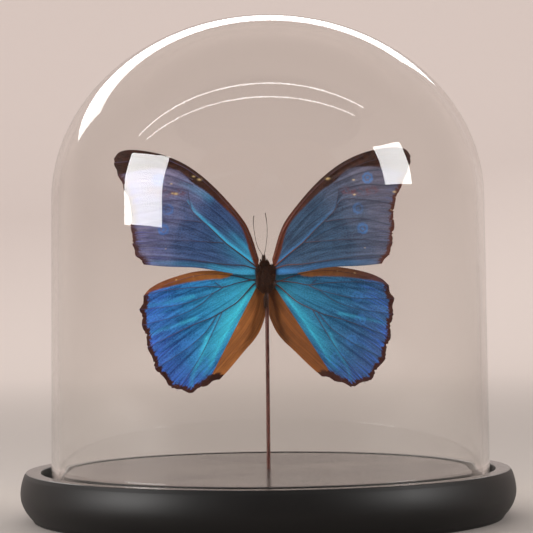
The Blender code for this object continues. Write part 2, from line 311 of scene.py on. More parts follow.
rod_profile = [(ROD_RADIUS - ROD_CHAMFER, rod_low.z), (ROD_RADIUS, rod_low.z + ROD_CHAMFER)]
rod_length = rod_high.z - rod_low.z
rod_profile += [(ROD_RADIUS, rod_low.z + rod_length * i / 12) for i in range(1, 12)]
rod_profile += [(ROD_RADIUS, rod_high.z - ROD_CHAMFER), (ROD_RADIUS - ROD_CHAMFER, rod_high.z)]
rod_profile += [(0.0001, rod_high.z)]


def rod_lacquer():
    made = material("red-brown rod lacquer", IOR=1.5, Coat_Weight=0.6, Coat_Roughness=0.12)
    where = on_piece(made.node_tree)
    streak = noise(after("Mapping", {"Vector": where, "Scale": (1, 1, 0.06)}).outputs[0], 2400.0)
    sag = noise(where, 110.0)
    tone = sums("MULTIPLY_ADD", streak, 0.5, times(sag, 0.5))
    colour = graded(tone, (0.3, shade(50, 18, 12)), (0.7, shade(88, 38, 28)))
    return feed(
        made,
        Base_Color=blended(dusted(made.node_tree, 3200.0, 0.1), colour, shade(130, 120, 112)),
        Roughness=ranged(sag, 0.3, 0.7, 0.24, 0.4),
        Normal=bumped(plus(streak, sag), 0.00002),
    )


rod_bar = turned(rod_profile, 32, ROD_X)
fit(rod_bar, "rod_bar", "rod_lacquer", "rod", finish=rod_lacquer())

# ---------------------------------------------------------------------------------------------
# Thorax. The insect's middle, a hard dark shell full of dried flight muscle, under a dense coat
# of hair that lies back towards the tail. The rod's hole is drilled up into it from below.

thorax_low, thorax_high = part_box("thorax")
THORAX_MIDDLE = (thorax_low + thorax_high) / 2
THORAX_HALF = (thorax_high - thorax_low) / 2
FURROW = 0.00025
# The chest stays broad down to its blunt lower end.
BLUNT_FROM, BLUNT_WIDER = 0.45, 1.14
# The first ring of the chest makes a broad collar behind the head, a plate covers each hinge, and
# a lobe on each shoulder lies over the root of the forewing.
NECK, NECK_HALF = THORAX_MIDDLE + Vector((-0.0004, 0, THORAX_HALF.z * 0.9)), (0.0017, 0.0019, 0.0018)
HINGE_PLATES = ((0.0030, 0.0022), (0.0, 0.0020), (-0.0028, 0.0020))
SHOULDER, SHOULDER_HALF = Vector((0.0027, -0.0018, 0.0029)), Vector((0.0012, 0.0009, 0.0023))
DOWN = (0, 0, -1)
hair_seed = np.random.default_rng(41)


def chitin(name, dark, light, rough, grain):
    """Dried insect shell: a dark brown varnish-like skin, finely pitted and a little cloudy."""
    made = material(name, IOR=1.55, Specular_IOR_Level=0.22, Coat_Weight=0.08, Coat_Roughness=0.3)
    where = on_piece(made.node_tree)
    cloudy = noise(where, grain * 0.2)
    pitted = after("TexVoronoi", {"Vector": where, "Scale": grain}).outputs["Distance"]
    return feed(
        made,
        Base_Color=graded(cloudy, (0.3, dark), (0.7, light)),
        Roughness=ranged(cloudy, 0.3, 0.7, rough - 0.08, rough + 0.1),
        Normal=bumped(pitted, 0.00003),
    )


body_shell = chitin("dark body shell", shade(22, 10, 6), shade(54, 26, 16), 0.42, 6000.0)


def measure_of(tree, name):
    return node(tree, "Attribute", attribute_name=name).outputs["Fac"]


def hair_finish():
    made = material("body hair", Roughness=0.6, Specular_IOR_Level=0.12)
    tone, tip = measure_of(made.node_tree, "tone"), measure_of(made.node_tree, "tip")
    browns = (0.0, shade(14, 5, 2)), (0.7, shade(42, 20, 10)), (1.0, shade(120, 72, 42))
    return feed(made, Base_Color=blended(tip, graded(tone, *browns), shade(104, 60, 36)))


body_hair = hair_finish()


def sown(count, middle, half, low=-1.0, high=1.0):
    """Seeded places and outward directions all over an ellipsoid, from a low to a high share."""
    z = hair_seed.uniform(low, high, count)
    turn = hair_seed.uniform(0, 2 * pi, count)
    ring = np.sqrt(1 - z**2)
    unit = np.stack([ring * np.cos(turn), ring * np.sin(turn), z], axis=1)
    outward = unit / np.array(half)
    outward /= np.linalg.norm(outward, axis=1, keepdims=True)
    return np.array(middle) + unit * np.array(half), outward


def hairs(places, outward, comb, length, radius, lean):
    """One mesh of tapered hairs: each leaves the skin outwards and bends over towards the comb."""
    count, rings, sides = len(places), 4, 3
    spread = hair_seed.normal(0, 0.28, (count, 3))
    out = outward + spread * 0.6
    out /= np.linalg.norm(out, axis=1, keepdims=True)
    laid = np.array(comb) + spread
    laid -= outward * np.minimum(0, np.sum(laid * outward, axis=1, keepdims=True)) * 1.1
    long = length * hair_seed.uniform(0.55, 1.25, (count, 1))
    across = np.cross(out, laid)
    across /= np.linalg.norm(across, axis=1, keepdims=True)
    over = np.cross(across, out)
    points = []
    for ring in range(rings):
        share = ring / rings
        spine = places + long * (out * share * (1 - lean * share) + laid * lean * share**1.6)
        for side in range(sides):
            turn = 2 * pi * side / sides
            reach = radius * (1 - 0.75 * share)
            points.append(spine + reach * (across * cos(turn) + over * sin(turn)))
    points.append(places + long * (out * (1 - lean) + laid * lean))
    points = np.stack(points, axis=1)
    per = rings * sides + 1
    faces = []
    for ring in range(rings - 1):
        for side in range(sides):
            a, b = ring * sides + side, ring * sides + (side + 1) % sides
            faces.append((a, b, b + sides, a + sides))
    last = (rings - 1) * sides
    faces += [(last + s, last + (s + 1) % sides, per - 1) for s in range(sides)]
    faces.append(tuple(reversed(range(sides))))
    mesh = bpy.data.meshes.new("hairs")
    everything = [tuple(i + k * per for i in face) for k in range(count) for face in faces]
    mesh.from_pydata(points.reshape(-1, 3).tolist(), [], everything)
    mesh.shade_smooth()
    tone = mesh.attributes.new("tone", "FLOAT", "POINT")
    tone.data.foreach_set("value", np.repeat(hair_seed.uniform(0, 1, count), per).astype(np.float32))
    up_the_hair = np.append(np.repeat(np.arange(rings) / rings, sides), 1.0)
    tip = mesh.attributes.new("tip", "FLOAT", "POINT")
    tip.data.foreach_set("value", np.tile(up_the_hair**2 * 0.6, count).astype(np.float32))
    piece = bpy.data.objects.new("hairs", mesh)
    bpy.context.scene.collection.objects.link(piece)
    mesh.materials.append(body_hair)
    return piece


def fur(count, middle, half, comb, length, radius, lean, low=-1.0, high=1.0, where=None):
    """Hair sown over an ellipsoid, on all of it or where the outward directions pass a test."""
    places, outward = sown(count, middle, half, low, high)
    if where:
        places, outward = places[where(outward)], outward[where(outward)]
    return hairs(places, outward, comb, length, radius, lean)


def ball(middle, half, segments, rings):
    bpy.ops.object.select_all(action="DESELECT")
    bpy.ops.mesh.primitive_uv_sphere_add(
        segments=segments, ring_count=rings, radius=1, location=middle, scale=half
    )
    bpy.ops.object.transform_apply(location=True, rotation=True, scale=True)
    bpy.ops.object.shade_smooth()
    return bpy.context.object


def pick(piece, wanted):
    """In edit mode with only the points that pass the test selected."""
    bpy.ops.object.mode_set(mode="EDIT")
    bpy.ops.mesh.select_mode(type="VERT")
    bpy.ops.mesh.select_all(action="DESELECT")
    leave_edit()
    for point in piece.data.vertices:
        point.select = wanted(point.co)
    bpy.ops.object.mode_set(mode="EDIT")


def joined(first, *others):
    bpy.ops.object.select_all(action="DESELECT")
    for piece in (first, *others):
        piece.select_set(True)
    bpy.context.view_layer.objects.active = first
    bpy.ops.object.join()
    return bpy.context.object


thorax_shell = ball(THORAX_MIDDLE, THORAX_HALF, 48, 32)
blunt = THORAX_MIDDLE.z - BLUNT_FROM * THORAX_HALF.z
pick(thorax_shell, lambda p: p.z < blunt)
bpy.ops.transform.resize(
    value=(BLUNT_WIDER, 1, 1), center_override=(THORAX_MIDDLE.x, THORAX_MIDDLE.y, blunt)
)
leave_edit()
pick(thorax_shell, lambda p: abs(p.x - THORAX_MIDDLE.x) < 0.0002 and p.y < THORAX_MIDDLE.y)
bpy.ops.transform.translate(value=(0, FURROW, 0))
bpy.ops.mesh.select_all(action="SELECT")
bpy.ops.mesh.vertices_smooth(factor=0.5, repeat=2)
leave_edit()
bpy.ops.object.select_all(action="DESELECT")
drill_top, drill_depth = rod_high.z + 0.0003, 0.012
bpy.ops.mesh.primitive_cylinder_add(
    vertices=32, radius=ROD_HOLE_RADIUS, depth=drill_depth,
    location=(ROD_X, 0, drill_top - drill_depth / 2),
)
drill = bpy.context.object


def cut(piece, tool):
    """Cuts a piece with another, which is then thrown away."""
    alone(piece)
    made = piece.modifiers.new("cut", "BOOLEAN")
    made.object = tool
    bpy.ops.object.modifier_apply(modifier=made.name)
    bpy.data.objects.remove(tool)


cut(thorax_shell, drill)
neck = ball(NECK, NECK_HALF, 40, 24)
plates = [
    ball(THORAX_MIDDLE + Vector((side * 0.0029, -0.0006, high)), (0.0012, 0.0013, tall), 28, 20)
    for side in (-1, 1)
    for high, tall in HINGE_PLATES
]
lobe_places = [THORAX_MIDDLE + Vector((side * SHOULDER.x, *SHOULDER.yz)) for side in (-1, 1)]
lobes = [ball(place, SHOULDER_HALF, 28, 20) for place in lobe_places]
thorax_shell = joined(thorax_shell, neck, *plates, *lobes)
fit(thorax_shell, "thorax_shell", "insect_shell", "thorax", finish=body_shell)

coat = fur(5600, THORAX_MIDDLE, THORAX_HALF * 0.97, DOWN, 0.0013, 0.00004, 0.62, -0.9, 0.98)
# Longer tufts lie out over the wing hinges, and a ruff stands round the neck.
tufts = fur(
    3400, THORAX_MIDDLE, THORAX_HALF * 0.95, (0, -0.05, -0.8), 0.0023, 0.000045, 0.42, -0.7, 0.7,
    where=lambda outward: np.abs(outward[:, 0]) > 0.72,
)
ruff = fur(3000, NECK, NECK_HALF, (0, 0, 0.2), 0.0009, 0.00004, 0.4, -0.9, 0.85)
# A blunt brush of hair closes the lower end over the stump of the abdomen.
brush = fur(2600, THORAX_MIDDLE, THORAX_HALF * 0.95, DOWN, 0.0014, 0.00004, 0.35, -0.97, -0.6)
shoulders = [
    fur(1300, place, SHOULDER_HALF, (0, -0.1, -1), 0.0012, 0.00004, 0.5) for place in lobe_places
]
fit(joined(coat, brush), "thorax_hair", "insect_fur")
fit(joined(tufts, ruff, *shoulders), "shoulder_hair", "insect_fur")

# ---------------------------------------------------------------------------------------------
# Abdomen. What is left of it has dried to a thin, tapering stub of seven ringed plates, pressed
# flat in the trough between the hindwings' inner flaps, with short hair at the joints.

abdomen_low, abdomen_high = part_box("abdomen")
ABDOMEN_MIDDLE = (abdomen_low + abdomen_high) / 2
ABDOMEN_HALF = (abdomen_high - abdomen_low) / 2
ABDOMEN_RINGS = 7
ABDOMEN_TAPER = 0.5

abdomen_rings = ball(ABDOMEN_MIDDLE, ABDOMEN_HALF, 32, 64)
for point in abdomen_rings.data.vertices:
    down = (abdomen_high.z - point.co.z) / (abdomen_high.z - abdomen_low.z)
    ring = 1 - 0.09 * (1 - abs(sin(pi * ABDOMEN_RINGS * down)) ** 0.5)
    taper = 1.0 - ABDOMEN_TAPER * down**1.3
    point.co.x = ABDOMEN_MIDDLE.x + (point.co.x - ABDOMEN_MIDDLE.x) * ring * taper
    point.co.y = ABDOMEN_MIDDLE.y + (point.co.y - ABDOMEN_MIDDLE.y) * ring * taper
fit(abdomen_rings, "abdomen_rings", "insect_shell", "abdomen", finish=body_shell)

abdomen_hair = fur(700, ABDOMEN_MIDDLE, ABDOMEN_HALF * 0.8, DOWN, 0.0008, 0.00003, 0.75, -0.8, 0.95)
fit(abdomen_hair, "abdomen_hair", "insect_fur")

# ---------------------------------------------------------------------------------------------
# Head. A small hairy ball set on the collar, with two big domed eyes let into its sides, two
# hairy feelers for tasting that stand up in front, and the drinking tube coiled behind.

head_low, head_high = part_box("head")
HEAD_MIDDLE, HEAD_HALF = (head_low + head_high) / 2, (head_high - head_low) / 2
EYE_GAP, PALP_SUNK = 0.0003, 0.0006
PROBOSCIS_TURNS, PROBOSCIS_RADIUS = 1.75, 0.0001

head_shell = ball(HEAD_MIDDLE, HEAD_HALF, 40, 28)
fit(head_shell, "head_shell", "insect_shell", "head", finish=body_shell)

head_hair = fur(
    900, HEAD_MIDDLE, HEAD_HALF * 0.96, (0, -0.2, -1), 0.0007, 0.00003, 0.45,
    where=lambda outward: np.abs(outward[:, 0]) < 0.8,
)
fit(head_hair, "head_hair", "insect_fur")


def eye_finish():
    made = material("compound eye", IOR=1.5, Roughness=0.22, Coat_Weight=0.8, Coat_Roughness=0.08)
    where = on_piece(made.node_tree)
    cells = after("TexVoronoi", {"Vector": where, "Scale": 16000.0, "Randomness": 0.15})
    stripes = noise(where, 1400.0)
    return feed(
        made,
        Base_Color=graded(stripes, (0.35, shade(22, 12, 9)), (0.7, shade(70, 40, 24))),
        Normal=bumped(cells.outputs["Distance"], 0.00002),
    )


compound_eye = eye_finish()
for word in ("left", "right"):
    eye_low, eye_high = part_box("eye_" + word)
    side = 1 if word == "right" else -1
    reach = (eye_high.y - eye_low.y) / 2
    outer = eye_high.x if side > 0 else eye_low.x
    eye_place = (outer - side * reach, (eye_low.y + eye_high.y) / 2, (eye_low.z + eye_high.z) / 2)
    eye = ball(eye_place, (reach,) * 3, 40, 28)
    cut(eye, ball(HEAD_MIDDLE, HEAD_HALF + Vector((EYE_GAP,) * 3), 48, 32))
    bpy.ops.object.shade_smooth_by_angle(angle=radians(35))
    fit(eye, "eye_dome_" + word, "insect_eye", "eye_" + word, finish=compound_eye)


def strand(route, radii, sides=10):
    """A closed round strand along a route, its thickness given at each point."""
    curve = bpy.data.curves.new("strand", "CURVE")
    curve.dimensions, curve.bevel_depth, curve.use_fill_caps = "3D", 1.0, True
    curve.bevel_resolution = max(0, (sides - 4) // 2)
    line = curve.splines.new("POLY")
    line.points.add(len(route) - 1)
    for point, place, radius in zip(line.points, route, radii):
        point.co, point.radius = (*place, 1.0), radius
    piece = bpy.data.objects.new("strand", curve)
    bpy.context.scene.collection.objects.link(piece)
    alone(piece)
    bpy.ops.object.convert(target="MESH")
    edit()
    bpy.ops.mesh.remove_doubles(threshold=0.000001)
    bpy.ops.mesh.normals_make_consistent(inside=False)
    leave_edit()
    bpy.ops.object.shade_smooth_by_angle(angle=radians(50))
    return bpy.context.object


for word in ("left", "right"):
    palp_low, palp_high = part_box("palp_" + word)
    foot = (palp_low + palp_high) / 2
    foot.z = palp_low.z - PALP_SUNK
    tall = palp_high.z - foot.z
    wide = (palp_high.x - palp_low.x) / 2
    steps = [i / 16 for i in range(17)]
    core = strand(
        [foot + Vector((0, 0, tall * s)) for s in steps],
        [wide * (0.72 + 0.2 * sin(pi * s) - 0.5 * s**3) for s in steps],
    )
    core.data.materials.append(body_shell)
    middle = foot + Vector((0, 0, tall / 2))
    size = (wide * 0.8, wide * 0.8, tall * 0.46)
    coat = fur(260, middle, size, (0, 0, 0.9), 0.00042, 0.00002, 0.6, -0.9, 0.8)
    fit(joined(core, coat), "palp_feeler_" + word, "insect_fur", "palp_" + word)

coil_low, coil_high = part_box("proboscis")
coil_middle = (coil_low + coil_high) / 2
coil_reach = (coil_high.z - coil_low.z) / 2 - PROBOSCIS_RADIUS
coil_route, coil_radii = [], []
for i in range(91):
    share = i / 90
    turn = pi + 2 * pi * PROBOSCIS_TURNS * share
    reach = coil_reach * (1 - 0.62 * share)
    coil_route.append(coil_middle + Vector((0, reach * cos(turn), reach * sin(turn))))
    coil_radii.append(PROBOSCIS_RADIUS * (1 - 0.35 * share))
drinking_tube = strand(coil_route, coil_radii)
amber_tube = chitin("amber tube", shade(70, 36, 18), shade(120, 72, 38), 0.35, 9000.0)
fit(drinking_tube, "drinking_tube", "insect_shell", "proboscis", finish=amber_tube)

# ---------------------------------------------------------------------------------------------
# Antennae. Two dry black-brown threads, ringed by their many short joints with paler scales
# between, curving up and out from the brow and thickening gently towards the tip.


def mm(*points):
    """Places given in millimetres, in metres."""
    return tuple(tuple(v / 1000 for v in point) for point in points)


ANTENNA_LEFT = mm(
    (-1.5, -1.2, 107.6), (-1.9, -1.3, 108.5), (-2.8, -1.6, 110), (-3.8, -2, 112.5),
    (-4.5, -2.6, 116), (-5, -3.1, 119.9), (-5, -3.4, 121.7), (-4.8, -3.6, 123.8),
)
ANTENNA_RIGHT = mm(
    (-0.7, -1.2, 107.7), (-0.5, -1.3, 108.7), (-0.1, -1.6, 110.4), (0.3, -2.1, 113.3),
    (0.6, -2.6, 116.8), (0.5, -3.1, 120.6), (0.2, -3.4, 123), (-0.1, -3.6, 125),
)
ANTENNA_RADIUS, ANTENNA_CLUB = 0.00011, 1.7


def evenly(line, shares):
    """The points at these shares of a line's length."""
    steps = np.linalg.norm(np.diff(line, axis=0), axis=1)
    reached = np.concatenate([[0.0], np.cumsum(steps)])
    return np.stack([np.interp(shares * reached[-1], reached, axis) for axis in line.T], axis=-1)


def smooth_line(points, shares, loops=14):
    """The points at these shares of the smooth line through the given ones."""
    points = np.array(points, float)
    ends = np.vstack([2 * points[0] - points[1], points, 2 * points[-1] - points[-2]])
    fine = [points[0]]
    for a, b, c, d in zip(ends, ends[1:], ends[2:], ends[3:]):
        for t in np.arange(1, loops + 1) / loops:
            bend = (2 * a - 5 * b + 4 * c - d) * t**2 + (3 * b - a - 3 * c + d) * t**3
            fine.append(0.5 * (2 * b + (c - a) * t + bend))
    return evenly(np.array(fine), np.asarray(shares))


def antenna_finish():
    made = material("ringed antenna", IOR=1.5, Coat_Weight=0.2, Coat_Roughness=0.2)
    where = on_piece(made.node_tree)
    banding = {"Vector": where, "Scale": 420.0, "Distortion": 0.4, "Detail": 1.0}
    rings = after("TexWave", banding, bands_direction="Z").outputs["Fac"]
    fleck = noise(where, 5200.0)
    return feed(
        made,
        Base_Color=graded(times(rings, fleck), (0.25, shade(48, 38, 32)), (0.6, shade(112, 94, 80))),
        Roughness=ranged(fleck, 0.3, 0.7, 0.35, 0.6),
        Normal=bumped(rings, 0.00003),
    )


ringed_antenna = antenna_finish()
for word, route in (("left", ANTENNA_LEFT), ("right", ANTENNA_RIGHT)):
    shares = np.linspace(0, 1, 90)
    club = np.clip((shares - 0.72) / 0.28, 0, 1)
    thickness = ANTENNA_RADIUS * (1 + (ANTENNA_CLUB - 1) * np.sin(club * pi * 0.62))
    thickness *= 1 + 0.06 * np.cos(shares * 2 * pi * 30)
    thread = strand(smooth_line(route, shares), thickness)
    fit(thread, "antenna_thread_" + word, "insect_shell", "antenna_" + word, finish=ringed_antenna)

# ---------------------------------------------------------------------------------------------
# Legs. Four thin legs are folded dry against the underside of the thorax, jointed at the knee
# and ankle, with a fringe of fine bristles.

MIDDLE_LEG = mm((1.3, 2.6, 100.5), (2.7, 3.2, 98), (1.7, 3.2, 94.6))
HIND_LEG = mm((0.9, 2.7, 98.2), (1.8, 4.1, 95.8), (0.8, 3.7, 92.5))
LEG_RADIUS = 0.00019

for word, side in (("left", -1), ("right", 1)):
    for leg, route in (("middle", MIDDLE_LEG), ("hind", HIND_LEG)):
        shares = np.linspace(0, 1, 48)
        line = smooth_line([(THORAX_MIDDLE.x + side * x, y, z) for x, y, z in route], shares)
        knees = 1 + 0.3 * np.exp(-(((shares - 0.5) / 0.05) ** 2)) - 0.45 * shares
        limb = strand(line, LEG_RADIUS * knees)
        limb.data.materials.append(body_shell)
        middle = line[6:-4]
        outward = hair_seed.normal(0, 1, middle.shape)
        outward /= np.linalg.norm(outward, axis=1, keepdims=True)
        fringe = hairs(middle, outward, DOWN, 0.0004, 0.000018, 0.5)
        fit(joined(limb, fringe), f"leg_{word}_{leg}_limb", "insect_shell", f"leg_{word}_{leg}")

# ---------------------------------------------------------------------------------------------
# Wings. Four dry membranes thinner than paper, stiffened by hollow veins and tiled on both faces with
# tiny scales. The upper scales are ridged so that they throw back blue light; on top of that, highlights
# are painted into the blue where the membrane would turn to the lamps, and the left wings are painted
# lighter and the right ones darker, as painted light and shade. The brown ones along the edges only soak
# it up.

WING_THICKNESS = 0.00012
WING_ALONG, WING_ACROSS = 170, 190
NICK_DEPTH, VEIN_SWELL = 0.0009, 1.45
VEIN_RIDGE, FURROW_DEPTH, CAMBER, WAVE = 0.00016, 0.00022, 0.0009, 0.00035

# Outlines on the flat wing in millimetres, outwards and upwards from its root. The margin runs
# over the ends of the veins, from the tip to the inner corner, and dips between them.
FOREWING_LEADING = mm(
    (0, 3.6), (3.3, 14), (7.3, 21.2), (17.5, 33), (28.1, 42), (39.3, 47.1), (50, 49.1), (56, 48.4),
    (58.6, 45.7),
)
FOREWING_MARGIN = mm(
    (58.6, 45.7), (58.8, 43.2), (57.2, 38.4), (54.9, 33), (52.3, 26.2), (52.6, 17.4), (52, 10.6),
    (50.9, 5.8), (47.3, 2.2),
)
FOREWING_TRAILING = mm((0.6, -3), (5.6, -2.9), (13.6, -1.7), (24.9, 0.4), (38.3, 1.2), (47.3, 2.2))
FOREWING_DIP = 0.0007
HINDWING_LEADING = mm(
    (0, 3.6), (6, 4.2), (12.8, 4.3), (24.5, 4.2), (36.4, 1.1), (43.2, -2.2), (46.4, -5.5),
)
HINDWING_MARGIN = mm(
    (46.4, -5.5), (48.4, -11), (47.4, -17.6), (45.3, -27), (42.4, -35.6), (35.8, -43.8),
    (27.4, -46.2), (20.5, -42.7), (15.6, -40.3),
)
HINDWING_INNER = mm(
    (-1.8, -2.2), (-3.8, -4.4), (-4, -8), (-3.9, -12.2), (-3.1, -15.8), (-1.3, -20.5), (1.4, -24.6),
    (4.9, -28.4), (11.2, -35.7), (15.6, -40.3),
)
HINDWING_DIP = 0.0010
# The hindwing's inner flap is folded back along this line.
FOLD_START, FOLD_DIRECTION = np.array((0.0006, -0.0037)), np.array((0.4668, -0.8844))
FLAP_WIDTH, FLAP_DEPTH, FLAP_CURVE = 0.0085, 0.0055, 1.15


def vein(at_root, at_margin, *route):
    """A vein's radius at both ends and its route, given in millimetres."""
    return at_root / 1000, at_margin / 1000, mm(*route)


FOREWING_VEINS = (
    vein(0.3, 0.1, (0.8, 3.6), (4.1, 13.1), (8.3, 20.5), (18, 31.8), (28.3, 40.6), (39, 45.9)),
    vein(
        0.24, 0.09, (-0.8, -0.6), (1.3, 0.6), (7.5, 5.6), (13.3, 10.1), (19.5, 16.2), (23.4, 19.8),
        (27, 23.3), (30, 27.8), (38, 28.1), (52.3, 26.4),
    ),
    vein(0.12, 0.07, (23.4, 19), (29.1, 19.9), (36.1, 20.4), (40.5, 20.2), (52.6, 17.4)),
    vein(0.12, 0.07, (14.5, 10.4), (24.2, 11.2), (33.2, 11.9), (40.6, 11.8), (52, 10.6)),
    vein(
        0.2, 0.06, (-0.6, -1), (1.7, -0.4), (6.6, 1.1), (13.2, 1.5), (21, 2.7), (28, 3.7),
        (40, 5.2), (50.8, 5.8),
    ),
    vein(0.1, 0.07, (28.6, 32.3), (34.6, 33.4), (40.4, 34.1), (54.9, 33.5)),
    vein(0.09, 0.07, (27.5, 25), (28.3, 29), (28.6, 32.3)),
    vein(0.1, 0.07, (26.5, 34.5), (37, 38.5), (46, 40), (57.3, 38.8)),
    vein(0.1, 0.07, (26.5, 36.5), (37, 42), (47, 44.5), (58.4, 44)),
)
HINDWING_VEINS = (
    vein(0.16, 0.07, (-0.8, -0.4), (2, 0.4), (9, 2.2), (18, 3), (27, 2), (38, -1.2)),
    vein(
        0.18, 0.08, (-0.8, 0.6), (2.7, 0.3), (8.5, -0.9), (13.5, -2.3), (19.3, -2.1), (26.5, -2.4),
        (33.8, -3), (39.2, -3.7), (46.6, -5.6),
    ),
    vein(0.08, 0.08, (17, -0.5), (14.5, -2.3)),
    vein(0.12, 0.07, (13.5, -2.3), (17.5, -4.6), (28.4, -8.5), (37.4, -10.2), (48.4, -11.2)),
    vein(0.08, 0.07, (17.5, -4.6), (24, -10), (33, -14), (47.3, -17.6)),
    vein(
        0.22, 0.1, (-1, 0), (1.6, -1.9), (4.2, -4.7), (8.2, -8.7), (12.2, -11.2), (16.2, -13.6),
        (19.4, -15.1), (26.7, -17.9), (35.7, -22.1), (45.2, -26.8),
    ),
    vein(0.1, 0.07, (16.2, -13.6), (21.3, -20.8), (28.5, -27), (35.8, -31.8), (42.3, -35.4)),
    vein(0.1, 0.07, (14.2, -12.4), (17.6, -19.4), (23, -30), (30.2, -40.9), (33, -44.7)),
)
# Eye-spots, which show through faintly on the upper side.
FOREWING_SPOTS = mm((37, 24.5), (39, 16.3), (40.8, 36.8))
HINDWING_SPOTS = mm((33, -9), (33.5, -18.5), (29, -26.5), (22.5, -33))

# Bare flecks where the scales are rubbed or cream-coloured, as (across, up, size), and the rusty
# cloud past the cell.
FORE_LEFT_FLECKS = mm(
    (23.8, 36.6, 0.75), (26.2, 37.9, 0.5), (33.6, 30.9, 0.8), (35, 31.1, 0.5), (35.4, 35, 0.4),
    (38.2, 8.5, 0.25),
)
FORE_RIGHT_FLECKS = mm(
    (23.8, 36.5, 0.8), (34.8, 36, 0.45), (35.3, 30, 0.5), (52, 31.2, 0.6), (40, 8.5, 0.25),
)
FORE_RUST = mm((31, 31.6), (34.5, 31.2), (40, 31.3), (44, 31.8))
HIND_FLECKS = mm((33, 0.8, 0.35), (26, 2.2, 0.25))

# Where each wing is rooted, its lift towards the viewer, and its turn in its own plane.
FOREWING_LEFT = ((-0.0029, -0.0026, 0.1025), radians(7), radians(-0.5))
FOREWING_RIGHT = ((0.0025, -0.0026, 0.1026), radians(21), radians(-1.4))
HINDWING_LEFT = ((-0.0041, -0.0006, 0.0971), radians(6), 0.0)
HINDWING_RIGHT = ((0.0037, -0.0006, 0.0964), radians(6), radians(4.9))

# Lower edge of the brown band along each wing's leading edge.
FOREWING_BAND = mm(
    (-3, -10), (2.9, 3.9), (5.1, 11.7), (7.9, 18.2), (13.9, 24.8), (21.6, 31.8), (26.1, 34.7),
    (32.1, 40.1), (39.5, 41.4), (48, 40.8), (54, 39.5), (64, 38.5),
)
HINDWING_BAND = mm(
    (-4, 7), (7.8, 5.2), (10.2, 2.4), (13.9, 1.1), (19.3, 0.8), (27.6, -0.2), (34.5, -1.6),
    (41, -3.3), (45.7, -5.1), (52, -9),
)

# Painted highlights: where the blue is painted brighter, as if the wing turned to the lamps there, as
# (spread, strength, route) of each patch.
FORE_CELL = mm((1.8, 2), (7.8, 6.7), (13.8, 11.5), (20, 17.7), (26.2, 23.8), (28.5, 27.5))
FORE_CELL_UPPER = mm((1.8, 3.4), (6, 9), (11, 14))
FORE_EDGE = mm((1, -1.8), (10, -1.2), (20, 1), (31, 2.2), (44, 3))
FORE_TIP = mm((20, 29), (27, 33.5), (31, 35))
HIND_FOLD = mm((1.6, -3.4), (6.6, -9), (11.4, -17), (15.3, -24), (18.7, -30), (21.2, -36))
HIND_SHINE = mm((4, -6.2), (8.5, -13.5), (12.8, -21.2), (16, -27.2), (19.5, -34.5))
HIND_RAY = mm((20.5, -23), (22.8, -30), (26.2, -37.5), (27.2, -42.5))
HIND_RAY_OUTER = mm((26, -6), (34.5, -8), (44, -9.8))
HIND_RAY_MIDDLE = mm((25, -15), (34, -17.8), (44, -21.2))
HIND_ROOT = mm((1, -1), (8, -3), (16, -7.5), (24, -11))
HIND_LOW = mm((11, -15), (18, -23), (24, -32))
FORE_LEFT_PAINTED_HIGHLIGHTS = (
    (0.0007, 1.0, FORE_CELL), (0.0046, 0.45, FORE_CELL[:3]), (0.0012, 0.55, FORE_CELL_UPPER),
    (0.0016, 0.70, FORE_EDGE[:3]), (0.0009, 0.30, FORE_EDGE), (0.0018, 0.22, FORE_TIP),
)
FORE_RIGHT_PAINTED_HIGHLIGHTS = (
    (0.0005, 0.35, FORE_CELL), (0.0030, 0.20, FORE_CELL[:2]), (0.0013, 0.70, FORE_EDGE[:2]),
    (0.0009, 0.35, FORE_EDGE),
)
HIND_LEFT_PAINTED_HIGHLIGHTS = (
    (0.0026, 0.66, HIND_FOLD), (0.0006, 1.0, HIND_SHINE), (0.0070, 0.50, HIND_ROOT),
    (0.0050, 0.45, HIND_LOW), (0.0010, 0.55, HIND_RAY), (0.0008, 0.30, HIND_RAY_OUTER),
    (0.0008, 0.35, HIND_RAY_MIDDLE),
)
HIND_RIGHT_PAINTED_HIGHLIGHTS = (
    (0.0020, 0.48, HIND_FOLD), (0.0005, 0.75, HIND_SHINE), (0.0050, 0.28, HIND_ROOT),
    (0.0050, 0.20, HIND_LOW), (0.0007, 0.30, HIND_RAY), (0.0006, 0.35, HIND_RAY_MIDDLE),
)


def scalloped(points, dip, shares, loops=14):
    """The margin over the vein ends, dipping inwards between each two of them."""
    points = np.array(points, float)
    fine = [points[0]]
    for a, b in zip(points, points[1:]):
        long = np.linalg.norm(b - a)
        inward = np.array(((b - a)[1], -(b - a)[0])) / long
        for t in np.arange(1, loops + 1) / loops:
            fine.append(a + (b - a) * t + inward * dip * min(1.0, long / 0.006) * sin(pi * t) ** 2)
    fine = np.array(fine)
    for _ in range(7):
        fine[1:-1] = (fine[:-2] + 2 * fine[1:-1] + fine[2:]) / 4
    return evenly(fine, shares)


def off_line(route, flat):
    """Each flat point's distance to a route, which side it lies on, and its share along the route."""
    ends = np.array(route, float)
    start, run = ends[:-1], np.diff(ends, axis=0)
    long = np.linalg.norm(run, axis=1)
    reached = np.concatenate([[0.0], np.cumsum(long)])
    nearest = np.full(len(flat), 1e9)
    side, share = np.zeros(len(flat)), np.zeros(len(flat))
    for a, r, l, before in zip(start, run, long, reached):
        away = flat - a
        t = np.clip(away @ r / l**2, 0, 1)
        distance = np.linalg.norm(away - t[:, None] * r, axis=1)
        closer = distance < nearest
        nearest[closer] = distance[closer]
        side[closer] = np.sign(r[0] * away[:, 1] - r[1] * away[:, 0])[closer]
        share[closer] = ((before + t * l) / reached[-1])[closer]
    return nearest, side, share


def beyond_fold(flat):
    """How far each flat point lies past the hindwing's fold, on the body's side."""
    away = flat - FOLD_START
    return away[:, 0] * FOLD_DIRECTION[1] - away[:, 1] * FOLD_DIRECTION[0]


def soft_steps(value, low, high):
    t = np.clip((value - low) / (high - low), 0, 1)
    return t * t * (3 - 2 * t)


